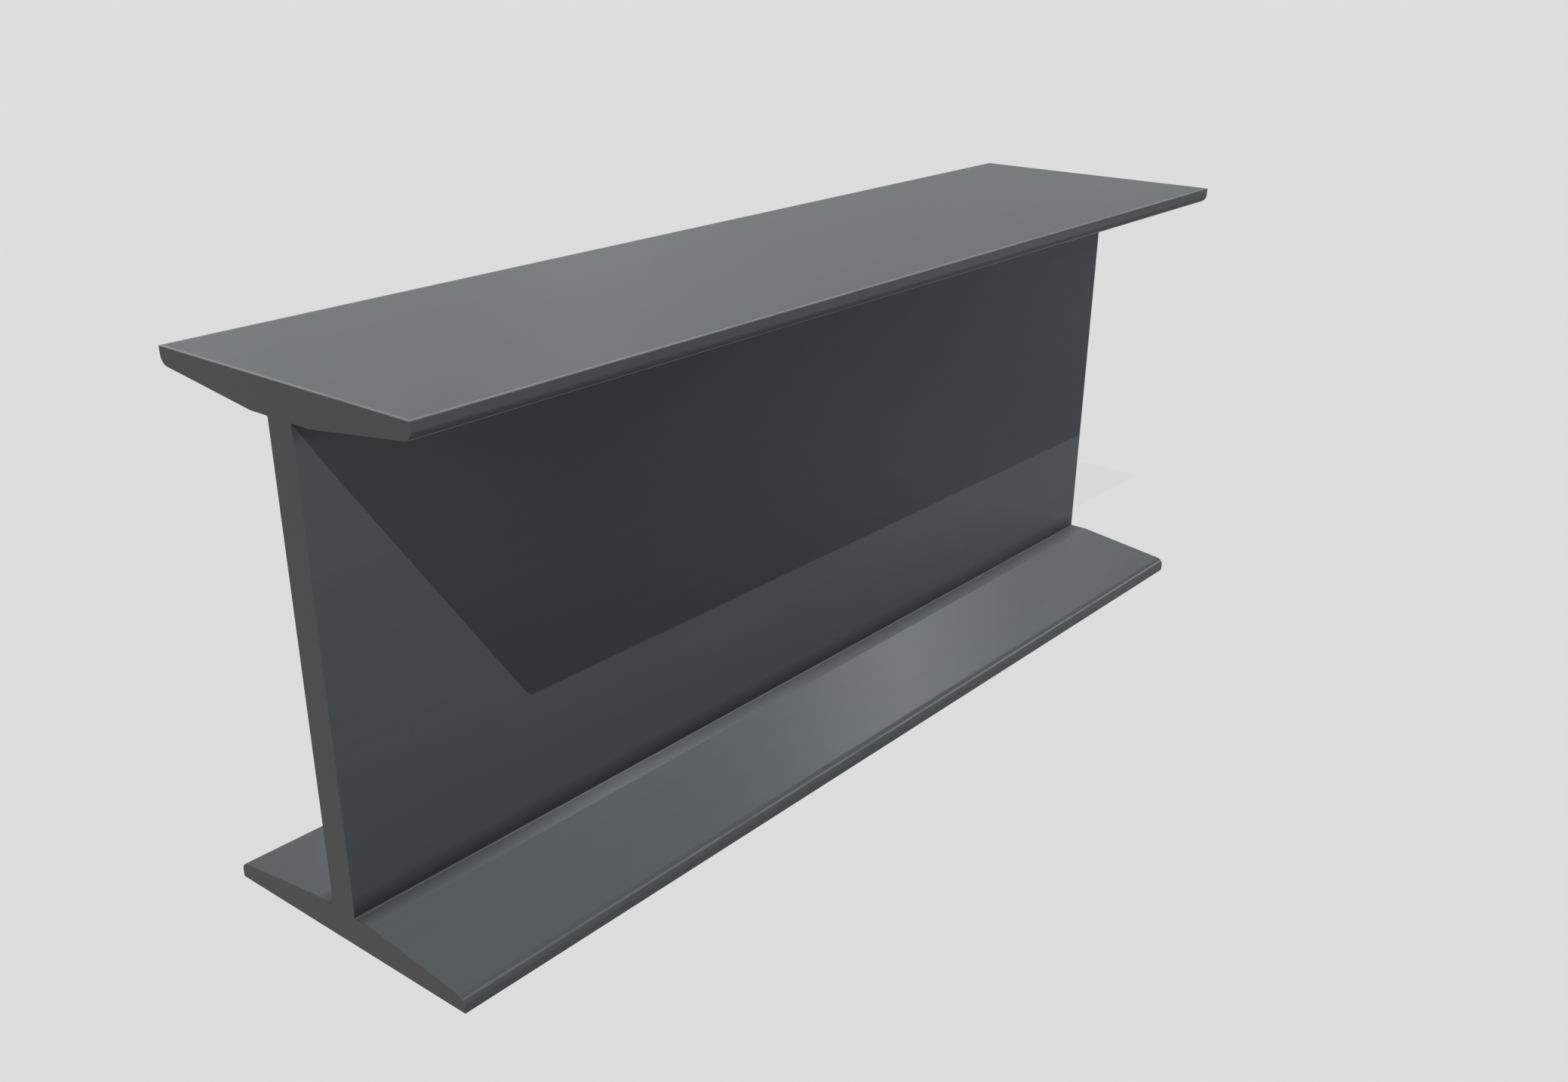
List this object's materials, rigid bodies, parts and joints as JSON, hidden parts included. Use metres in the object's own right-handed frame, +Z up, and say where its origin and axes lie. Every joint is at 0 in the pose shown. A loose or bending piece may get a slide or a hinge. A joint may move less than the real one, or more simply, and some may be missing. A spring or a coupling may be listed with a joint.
{
  "type": "steel i-beam",
  "caption": "Short saw-cut length of rolled steel I-beam: flat web between two flanges that taper to rounded edges.",
  "frame": {"origin": "centre of the underside, on the surface that the beam stands on", "axes": "+X along the beam's length, +Y across the flanges, +Z up the web; the beam stands on its lower flange"},
  "size_m": [0.366, 0.093, 0.15],
  "materials": {
    "rolled_steel": "dull grey as-rolled steel with a soft sheen, faint rolling streaks, saw-cut ends, no paint and no rust"
  },
  "bodies": {
    "root": {"i_beam": "rolled_steel"}
  },
  "joints": []
}
